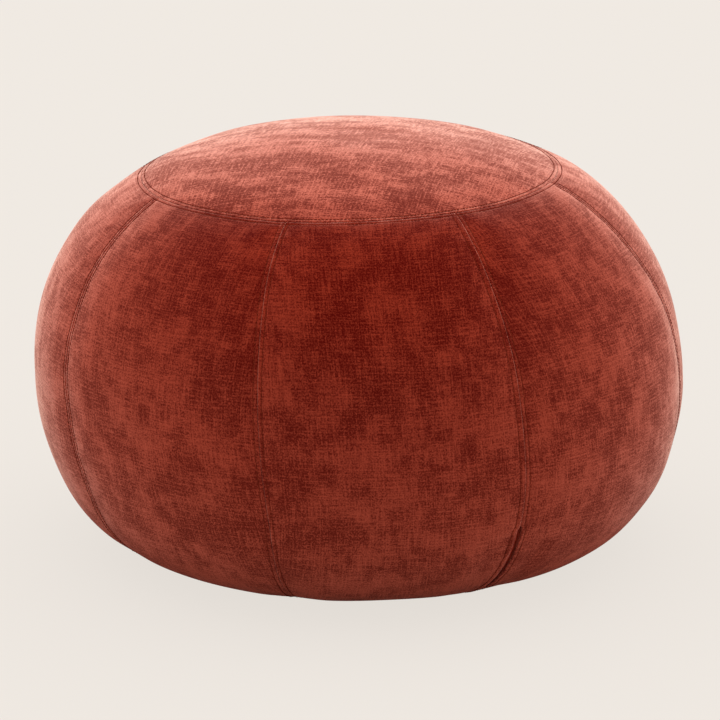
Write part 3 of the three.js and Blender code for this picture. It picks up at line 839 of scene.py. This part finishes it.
@dataclass
class StuffedForm:
    """How the filling swells the cover between its seams, found with a cloth simulation."""

    pattern: Pattern
    columns: int = 160
    rows: int = 60
    inset: float = 3 * MM
    pressure: float = 4.0
    frames: int = 20
    most: float = 3 * MM
    crown_guess: float = 2 * MM
    quality: int = 6
    mass: float = 0.2
    stiffness: float = 5.0
    bending: float = 0.5
    sewn_edge: tuple[float, float] = (0.004, 0.012)

    def reach(self) -> tuple[float, float]:
        """Returns the first and last place along the outline that swell."""
        outline = self.pattern.outline
        return -0.6 * outline.base_length, outline.gore_length + 0.88 * outline.crown_length

    def swelling(self) -> np.ndarray:
        """Finds the swelling of the whole cover.

        Returns:
            Outward movement, by place along the outline and then by azimuth.
        """
        turns = np.linspace(0.0, 2 * math.pi, self.columns, endpoint=False)
        places = np.linspace(*self.reach(), self.rows)
        s, azimuth = np.meshgrid(places, turns, indexing="ij")
        free = 1.0 - self._sewn(s, azimuth)
        outline = self.pattern.outline
        start = outline.point(azimuth, s, np.full(s.shape, -self.inset))
        face = (outline.point(azimuth, s, np.full(s.shape, 1.0))
                - outline.point(azimuth, s, np.zeros(s.shape)))
        piece = grid_mesh("stuffing_trial", start, {}, loop=True)
        hold = piece.vertex_groups.new(name="sewn")
        for index, value in enumerate(free.ravel()):
            hold.add([index], 1.0 - float(value), "REPLACE")
        cloth = piece.modifiers.new("filling_pressure", "CLOTH")
        cloth.settings.quality = self.quality
        cloth.settings.mass = self.mass
        cloth.settings.tension_stiffness = self.stiffness
        cloth.settings.compression_stiffness = self.stiffness
        cloth.settings.bending_stiffness = self.bending
        cloth.settings.use_pressure = True
        cloth.settings.uniform_pressure_force = self.pressure
        cloth.settings.vertex_group_mass = "sewn"
        cloth.settings.effector_weights.gravity = 0.0
        cloth.point_cache.frame_start = 1
        cloth.point_cache.frame_end = self.frames
        for number in range(1, self.frames + 1):
            bpy.context.scene.frame_set(number)
        settled = piece.evaluated_get(bpy.context.evaluated_depsgraph_get())
        ends = np.empty(3 * len(settled.data.vertices))
        settled.data.vertices.foreach_get("co", ends)
        moved = ((ends.reshape(start.shape) - start) * face).sum(axis=-1)
        bpy.data.objects.remove(piece)
        bpy.context.scene.frame_set(1)
        LOG.info("filling: cloth moved %.1f to %.1f mm", moved.min() / MM, moved.max() / MM)
        return np.clip(moved, 0.0, self.most)

    def _sewn(self, s: np.ndarray, azimuth: np.ndarray) -> np.ndarray:
        """Returns 1 on the seams and the lower end, falling to 0 a few millimetres off them."""
        weight = 1.0 - ease(*self.sewn_edge, self.pattern.off_seam(azimuth, s))
        weight[0] = 1.0
        return weight


@dataclass
class Cover:
    """The velvet cover: its sewing pattern laid over the outline, and the panels cut from it."""

    pattern: Pattern
    sewing: Sewing
    form: StuffedForm
    outline: Outline = field(init=False)
    seams: list[Seam] = field(init=False)
    swelling: np.ndarray = field(init=False)
    cloth: float = 0.75 * MM
    row_step: float = 1.9 * MM
    middle_columns: int = 38
    ring_columns: int = 560
    ring_step: float = 3.6 * MM
    crown_shift: float = 9 * MM
    crown_shift_turn: float = 8.0
    crown_shift_reach: float = 0.12
    lip_half: float = 2.15 * MM
    lips_foot: tuple[float, float] = (0.038, 0.044)
    lips_head: tuple[float, float] = (0.1598, 0.1650)
    ridge_foot: tuple[float, float] = (0.025, 0.045)
    ridge_head: tuple[float, float] = (0.155, 0.190)
    zip_ground: tuple[float, float] = (0.016, 0.040)
    zip_ground_head: tuple[float, float] = (0.12, 0.17)
    lump: float = 0.8 * MM
    lump_waves: int = 12
    lump_pitch: float = 30.0
    slump: float = 1.8 * MM
    slump_middle: float = 0.30
    slump_half: float = 0.45
    square: float = 1.4 * MM
    crown_cut_turn: float = 12.0
    crown_cut_place: tuple[float, float] = (9.0, 4.0)
    sink: float = 1.5 * MM
    sink_reach: float = 34 * MM
    raised_lip: float = 0.5 * MM
    wide_lip: float = 1.45

    def __post_init__(self) -> None:
        """Stuffs the form once, before any panel is cut."""
        self.outline, self.seams = self.pattern.outline, self.pattern.seams
        self.swelling = self.form.swelling()

    def warp(self, azimuth: np.ndarray, s: np.ndarray) -> np.ndarray:
        """Returns where on the outline a place of the pattern lands, the top sewn off centre."""
        shift = self.crown_shift * np.sin(azimuth + math.radians(self.crown_shift_turn))
        near = 1.0 - ease(0.0, self.crown_shift_reach, np.abs(s - self.outline.gore_length))
        return s + shift * near

    def swell(self, azimuth: np.ndarray, s: np.ndarray) -> np.ndarray:
        """Returns the swelling and the slow unevenness of the filling at places of the pattern."""
        rows, columns = self.swelling.shape
        low, high = self.form.reach()
        i = np.clip((s - low) / (high - low), 0.0, 1.0) * (rows - 1)
        j = (azimuth / (2 * math.pi) % 1.0) * columns
        i0, j0 = np.minimum(i.astype(int), rows - 2), j.astype(int) % columns
        di, dj = i - i0, j - np.floor(j)
        j1 = (j0 + 1) % columns
        grid = self.swelling
        puff = ((1 - di) * ((1 - dj) * grid[i0, j0] + dj * grid[i0, j1])
                + di * ((1 - dj) * grid[i0 + 1, j0] + dj * grid[i0 + 1, j1]))
        drawn = (1.0 - ease(0.0, self.sink_reach, self.pattern.off_seam(azimuth, s))) ** 1.5
        free = self._settled(azimuth, s) - self.sink * drawn
        free = free * (1.0 - self._zip_ground(azimuth, s))
        loose = puff + self.lump * self._lumps(azimuth, s) + free
        return loose * ease(0.0, 0.05, s)

    def _settled(self, azimuth: np.ndarray, s: np.ndarray) -> np.ndarray:
        """Returns how the filling has slumped, low on the right, and squared the sides."""
        share = s / self.outline.gore_length
        turn = np.cos(math.pi * (share - self.slump_middle) / self.slump_half)
        gore = ease(0.05, 0.2, share) * (1.0 - ease(0.85, 1.0, share))
        return gore * (self.slump * turn * np.sin(azimuth) + self.square * np.abs(turn))

    def _lumps(self, azimuth: np.ndarray, s: np.ndarray) -> np.ndarray:
        """Returns the slow unevenness of loose filling, from about -1 to 1."""
        spots = self.outline.point(azimuth, s, np.zeros(s.shape))
        chance = np.random.default_rng(7)
        waves = chance.normal(0.0, self.lump_pitch, (self.lump_waves, 3))
        return sum(np.sin(spots @ wave + chance.uniform(0, 2 * math.pi)) for wave in waves) / 4.0

    def _zip_ground(self, azimuth: np.ndarray, s: np.ndarray) -> np.ndarray:
        """Returns 1 round the zip, where the cloth keeps to the frame, and 0 away from it."""
        zipped = next(seam for seam in self.seams if seam.zipped)
        off = (azimuth - math.radians(zipped.azimuth) + math.pi) % (2 * math.pi) - math.pi
        aside = np.abs(off) * self.outline.radius(s)
        return (1.0 - ease(*self.zip_ground, aside)) * (1.0 - ease(*self.zip_ground_head, s))

    def lay(self, azimuth: np.ndarray, s: np.ndarray, lift: np.ndarray) -> np.ndarray:
        """Returns points of the cover, kept on or over the floor."""
        place = self.warp(azimuth, s)
        points = self.outline.point(azimuth, place, lift + self.swell(azimuth, s))
        points[..., 2] = np.maximum(points[..., 2], 0.0)
        return points

    def lips(self, seam: Seam, s: np.ndarray) -> np.ndarray:
        """Returns how far each lip of a seam stands from its line, for the zip."""
        if not seam.zipped:
            return np.zeros(s.shape)
        return self.lip_half * ease(*self.lips_foot, s) * (1.0 - ease(*self.lips_head, s))

    def gore(self, index: int) -> Object:
        """Cuts one gore, between a seam and the next one round."""
        left, right = self.seams[index], self.seams[(index + 1) % len(self.seams)]
        length = self.outline.gore_length
        ends = self.sewing.edge(hem=False)
        count = int((length - 2 * ends[-1][0]) / self.row_step)
        middle = np.linspace(ends[-1][0], length - ends[-1][0], count)[1:-1]
        s = np.concatenate([[d for d, _ in ends], middle, [length - d for d, _ in reversed(ends)]])
        sunk = np.concatenate([[k for _, k in ends], np.zeros(len(middle)),
                               [k for _, k in reversed(ends)]])
        edge = self.sewing.edge()
        across = self.middle_columns
        share = s / length
        radius = self.outline.radius(self.warp(left.line(share), s))
        low, high = left.line(share), right.line(share)
        if index == len(self.seams) - 1:
            high = high + 2 * math.pi
        lip_low, lip_high = self.lips(left, s), self.lips(right, s)
        width = (high - low) * radius
        columns, depths = [], []
        for d, depth in edge:
            columns.append(lip_low + d)
            depths.append(depth)
        first, last = columns[-1], width - lip_high - edge[-1][0]
        for share_across in np.linspace(0.0, 1.0, across + 2)[1:-1]:
            columns.append(first + (last - first) * share_across)
            depths.append(0.0)
        for d, depth in reversed(edge):
            columns.append(width - lip_high - d)
            depths.append(depth)
        place = np.stack(columns, axis=1)
        depth = np.array(depths)[None, :] + sunk[:, None]
        azimuth = low[:, None] + place / radius[:, None]
        rows = np.repeat(s[:, None], place.shape[1], axis=1)
        to_low = place - lip_low[:, None]
        to_high = (width[:, None] - lip_high[:, None] - place) / self.row_scale(right, -1)
        to_ends = np.minimum(s, length - s)[:, None] + np.zeros_like(place)
        lift = (self.sewing.relief(to_low) + self.sewing.relief(to_high)
                + self.sewing.relief(to_ends)
                - self.sewing.band * self._overlap(to_low, to_high, to_ends)
                + self._lip_ridge(right, to_high, rows)
                + self.sewing.puckers(to_low, rows, 100 + 10 * left.number)
                + self.sewing.puckers(to_high, rows, 105 + 10 * right.number)
                + self.sewing.puckers(to_ends, azimuth * self.outline.base_length,
                                      300 + 10 * index))
        points = self.lay(azimuth, rows, lift - depth)
        cloth = np.stack([place - width[:, None] / 2 + 0.7 * index, rows + 0.9 * index], axis=-1)
        seam = np.stack([np.minimum(to_low, to_high), rows], axis=-1)
        rim = np.stack([length - rows, azimuth * self.ring_radius()], axis=-1)
        piece = grid_mesh(f"gore_cloth_{index + 1}", points,
                          {"cloth": cloth, "seam": seam, "rim": rim})
        thicken(piece, self.cloth)
        return piece

    def row_scale(self, seam: Seam, side: int) -> float:
        """Returns how much wider than usual a row lies from a seam: side is -1 to its left."""
        return self.wide_lip if seam.zipped and side < 0 else 1.0

    def _lip_ridge(self, seam: Seam, distance: np.ndarray, s: np.ndarray) -> np.ndarray:
        """Returns the rounded ridge between a zipped seam's wide lip and its stitches."""
        if not seam.zipped:
            return np.zeros(s.shape)
        along = ease(*self.ridge_foot, s) * (1.0 - ease(*self.ridge_head, s))
        turn = np.clip(distance / self.sewing.row, 0.0, 1.0) * math.pi
        return self.raised_lip * np.sin(turn) * along

    def ring_radius(self) -> float:
        """Returns the top seam's radius."""
        return float(self.outline.radius(np.array([self.outline.gore_length]))[0])

    def _overlap(self, low: np.ndarray, high: np.ndarray, ends: np.ndarray) -> np.ndarray:
        """Returns how much of the raised bands is counted more than once, at the corners."""
        reach = self.sewing.band_edge()
        bands = [1.0 - ease(*reach, d) for d in (low, high, ends)]
        return sum(bands) - np.maximum.reduce(bands)

    def disc(self, name: str, top: bool) -> Object:
        """Cuts the top panel or the base panel."""
        length = self.outline.crown_length if top else self.outline.base_length
        edge = self.sewing.edge()
        count = int((length - edge[-1][0]) / self.ring_step)
        middle = np.linspace(edge[-1][0], length - 1.5 * MM, count)[1:]
        d = np.concatenate([[k for k, _ in edge], middle])
        depth = np.concatenate([[k for _, k in edge], np.zeros(len(middle))])
        turns = np.linspace(0.0, 2 * math.pi, self.ring_columns, endpoint=False)
        distance, azimuth = np.meshgrid(d, turns, indexing="ij")
        s = self.outline.gore_length + distance if top else -distance
        fade = ease(0.0, 0.05, length - distance)
        lift = (self.sewing.relief(distance)
                + self.sewing.puckers(distance, azimuth * self.outline.base_length, 400)) * fade
        points = self.lay(azimuth, s, (lift if top else np.minimum(lift, 0.0)) - depth[:, None])
        closed = np.concatenate([azimuth, azimuth[:, :1] + 2 * math.pi], axis=1)
        out = np.concatenate([length - distance, length - distance[:, :1]], axis=1)
        turned = closed + math.radians(self.crown_cut_turn)
        aside, along = self.crown_cut_place
        cloth = np.stack([out * np.sin(turned) + aside, -out * np.cos(turned) + along], axis=-1)
        from_rim = np.concatenate([distance, distance[:, :1]], axis=1)
        rim = np.stack([from_rim, closed * self.ring_radius()], axis=-1)
        seam = np.full_like(rim, length)
        if not top:
            points, cloth, rim = points[::-1], cloth[::-1], rim[::-1]
        piece = grid_mesh(name, points, {"cloth": cloth, "seam": seam, "rim": rim}, loop=True)
        self._cap(piece, points.shape[1], points.shape[0], top)
        thicken(piece, self.cloth)
        return piece

    @staticmethod
    def _cap(piece: Object, columns: int, rows: int, top: bool) -> None:
        """Closes the small hole at a disc's centre with one flat face."""
        work = bmesh.new()
        work.from_mesh(piece.data)
        work.verts.ensure_lookup_table()
        start = (rows - 1) * columns if top else 0
        ring = [work.verts[start + k] for k in range(columns)]
        face = work.faces.new(ring if top else list(reversed(ring)))
        face.smooth = True
        work.to_mesh(piece.data)
        work.free()


# ------------------------------------------------------------------ topstitching


@dataclass
class Topstitching:
    """The rows of stitches beside the seams."""

    cover: Cover
    stitch: float = 2.3 * MM
    radius: float = 0.33 * MM
    rise: float = 0.2 * MM
    top_gap: float = 2.2

    def _row(self, name: str, azimuth: np.ndarray, s: np.ndarray, lift: np.ndarray,
             azimuth_end: np.ndarray, s_end: np.ndarray) -> Object:
        """Makes a row from each stitch's start and end on the cover."""
        starts = self.cover.lay(azimuth, s, lift)
        ends = self.cover.lay(azimuth_end, s_end, lift)
        ups = self.cover.lay(azimuth, s, lift + MM) - starts
        ups /= np.linalg.norm(ups, axis=1, keepdims=True)
        return stitch_mesh(name, starts, ends, ups, self.radius, self.rise)

    def _bed(self, count: int) -> np.ndarray:
        """Returns how high the stitches' ends lie over the cover, sunk in its pinched line."""
        return np.full(count, self.cover.sewing.band - self.cover.sewing.pinch + 0.5 * self.radius)

    def beside_seam(self, seam: Seam, side: int, name: str) -> Object:
        """Makes the row on one side of a gore seam: side is -1 to its left, 1 to its right."""
        length = self.cover.outline.gore_length
        sewing = self.cover.sewing
        s = np.arange(sewing.first_stitch, length - self.top_gap * sewing.row, sewing.pitch)

        def azimuths(places: np.ndarray) -> np.ndarray:
            """Returns the row's azimuth at places along the seam."""
            line = seam.line(places / length)
            radius = self.cover.outline.radius(self.cover.warp(line, places))
            row = self.cover.sewing.row * self.cover.row_scale(seam, side)
            return line + side * (row + self.cover.lips(seam, places)) / radius

        pucker = self.cover.sewing.puckers(np.full(s.shape, self.cover.sewing.row), s,
                                           (100 if side > 0 else 105) + 10 * seam.number)
        ends = s + self.stitch
        return self._row(name, azimuths(s), s, self._bed(len(s)) + pucker, azimuths(ends), ends)

    def round_top(self, inner: bool, name: str) -> Object:
        """Makes the ring on the top panel, or the one on the gores."""
        sewing = self.cover.sewing
        s_row = self.cover.outline.gore_length + (sewing.row if inner else -sewing.row)
        radius = float(self.cover.outline.radius(np.array([s_row]))[0])
        count = int(2 * math.pi * radius / self.cover.sewing.pitch)
        azimuth = np.arange(count) * (2 * math.pi / count)
        s = np.full(count, s_row)
        reach = self.stitch / radius
        pucker = (sewing.puckers(np.full(count, sewing.row),
                                 azimuth * self.cover.outline.base_length, 400)
                  if inner else np.zeros(count))
        return self._row(name, azimuth, s, self._bed(count) + pucker, azimuth + reach, s)


# ------------------------------------------------------------------ stage


@dataclass
class Studio:
    """A plain pale sweep, soft light all round, and the camera."""

    target: tuple[float, float, float] = (0.0, 0.0, 0.165)
    distance: float = 3.3
    elevation: float = 16.61
    lens: float = 194.1
    shift: tuple[float, float] = (0.0014, -0.0167)
    paper: Colour = (0.839, 0.791, 0.738)
    glow: float = 0.90
    bounce: float = 0.36
    sky: float = 0.85
    back: float = 0.90
    zenith: float = 0.35
    floor_half: float = 30.0
    floor_gap: float = 0.5 * MM

    def build(self) -> None:
        """Makes the floor, the light and the camera."""
        self._floor()
        self._light()
        self._camera()

    def _floor(self) -> None:
        """Lays a wide floor that glows a little, so that only a faint shadow shows."""
        mesh = bpy.data.meshes.new("studio_floor")
        corners = [(x * self.floor_half, y * self.floor_half, 0.0)
                   for x, y in ((-1, -1), (1, -1), (1, 1), (-1, 1))]
        mesh.from_pydata(corners, [], [(0, 1, 2, 3)])
        floor = add_piece("studio_floor", mesh)
        floor.location.z = -self.floor_gap
        material, shader = new_material("studio_paper", self.paper)
        tree = material.node_tree
        seen = add_node(tree, "ShaderNodeLightPath").outputs["Is Camera Ray"]
        plain = mix_colour(tree, seen, (self.bounce,) * 3, scaled(self.paper, 1.0 - self.glow))
        glow = mix_colour(tree, seen, (0.0, 0.0, 0.0), scaled(self.paper, self.glow))
        feed(tree, shader, Base_Color=plain, Roughness=1.0, Specular_IOR_Level=0.0,
             Emission_Color=glow, Emission_Strength=1.0)
        mesh.materials.append(material)
        floor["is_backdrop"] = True

    def _light(self) -> None:
        """Lights the studio from all round, more from behind and straight above."""
        world = bpy.data.worlds.new("studio_sky")
        bpy.context.scene.world = world
        world.use_nodes = True
        tree = world.node_tree
        parts = add_node(tree, "ShaderNodeSeparateXYZ")
        feed(tree, parts, Vector=add_node(tree, "ShaderNodeTexCoord").outputs["Generated"])
        behind = math_node(tree, "MULTIPLY", ramp(tree, parts.outputs["Y"], -0.5, 0.6), self.back)
        above = math_node(tree, "MULTIPLY", ramp(tree, parts.outputs["Z"], 0.65, 0.95), self.zenith)
        strength = math_node(tree, "ADD", math_node(tree, "ADD", behind, above), self.sky)
        feed(tree, tree.nodes["Background"], Color=(1.0, 0.985, 0.965, 1.0), Strength=strength)

    def _camera(self) -> None:
        """Sets the camera in front, a little above."""
        data = bpy.data.cameras.new("studio_camera")
        camera = add_piece("studio_camera", data)
        rise = math.radians(self.elevation)
        target = Vector(self.target)
        away = Vector((0.0, -math.cos(rise), math.sin(rise)))
        camera.location = target + self.distance * away
        camera.rotation_mode = "QUATERNION"
        camera.rotation_quaternion = (-away).to_track_quat("-Z", "Y")
        data.lens = self.lens
        data.sensor_width = 36.0
        data.shift_x, data.shift_y = self.shift
        data.clip_start, data.clip_end = 0.1, 100.0
        bpy.context.scene.camera = camera


# ------------------------------------------------------------------ assembly


def dress(piece: Object, material: Material) -> None:
    """Gives a piece one material."""
    piece.data.materials.clear()
    piece.data.materials.append(material)


def seat(piece: Object, node: str, material: Material) -> None:
    """Puts a piece in place of a node of the frame.

    Args:
        piece: The new piece.
        node: The node it stands for.
        material: Its finish.
    """
    dress(piece, material)
    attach(piece, "cushion")
    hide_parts(node)
    LOG.info("%s stands for %s", piece.name, node)


def main() -> None:
    """Builds the cushion piece by piece and dresses the frame's own pieces."""
    logging.basicConfig(level=logging.INFO, format="%(name)s: %(message)s")
    cad_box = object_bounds()
    scene = bpy.context.scene
    scene.view_settings.view_transform = "Standard"

    effects = EffectLibrary()
    velvet = Velvet().build(effects)
    # the top panel's painted sheen is a little paler, its pile brushed another way
    crown_velvet = Velvet("rust_velvet_crown", painted_sheen_colour=(0.54, 0.112, 0.069), grain=1.75,
                          nap=(-0.08, 0.20, 0.0), cut=(0.6, 1.5)).build(effects)
    thread = Thread().build(effects)
    finishes = {
        "zip_tape": PlainCloth("zip_tape_cloth", (0.86, 0.080, 0.034)).build(effects),
        "zip_coil": Nylon().build(effects),
        "zip_metal": WornMetal().build(effects),
        "calico": PlainCloth("liner_calico", (0.79, 0.74, 0.63), 900.0).build(effects),
        "filling": Beads().build(effects),
    }

    zip_axis = frame["record"]["behaviour"]["joints"][0]["axis"]
    zip_azimuth = math.degrees(math.atan2(-zip_axis[1], -zip_axis[0]))
    leans = [(0.0, -0.9, -2.4), (7.0, 3.4, -2.9), (-0.4, -1.3, 0.3), (-1.7, -0.6, 0.0),
             (-0.5, 0.0, -1.5), (0.3, -0.7, -1.6), (3.0, -0.5, -4.3), (0.3, -1.2, -3.6)]
    seams = [Seam(i + 1, zip_azimuth + 45.0 * i, lean, i == 0) for i, lean in enumerate(leans)]
    pattern = Pattern(Outline(height=cad_box[1].z), seams)
    cover = Cover(pattern, Sewing(), StuffedForm(pattern))

    for index in range(len(seams)):
        seat(cover.gore(index), f"side_gore_{index + 1}", velvet)
    seat(cover.disc("top_cloth", True), "top_panel", crown_velvet)
    seat(cover.disc("base_cloth", False), "base_panel", velvet)

    stitching = Topstitching(cover)
    for seam in seams:
        for side, word in ((-1, "left"), (1, "right")):
            row = stitching.beside_seam(seam, side, f"stitches_{seam.number}_{word}")
            seat(row, f"topstitch_seam_{seam.number}_{word}", thread)
    for inner, word in ((True, "panel"), (False, "gores")):
        row = stitching.round_top(inner, f"stitches_ring_{word}")
        seat(row, f"topstitch_ring_{word}", thread)

    slots = {part["node"]: part["material_slot"] for part in frame["record"]["subparts"]}
    for node, piece in frame["nodes"].items():
        if slots[node] in finishes:
            dress(piece, finishes[slots[node]])
            LOG.info("%s keeps its shape and takes %s", node, slots[node])

    Studio().build()


if __name__ == "__main__":
    main()
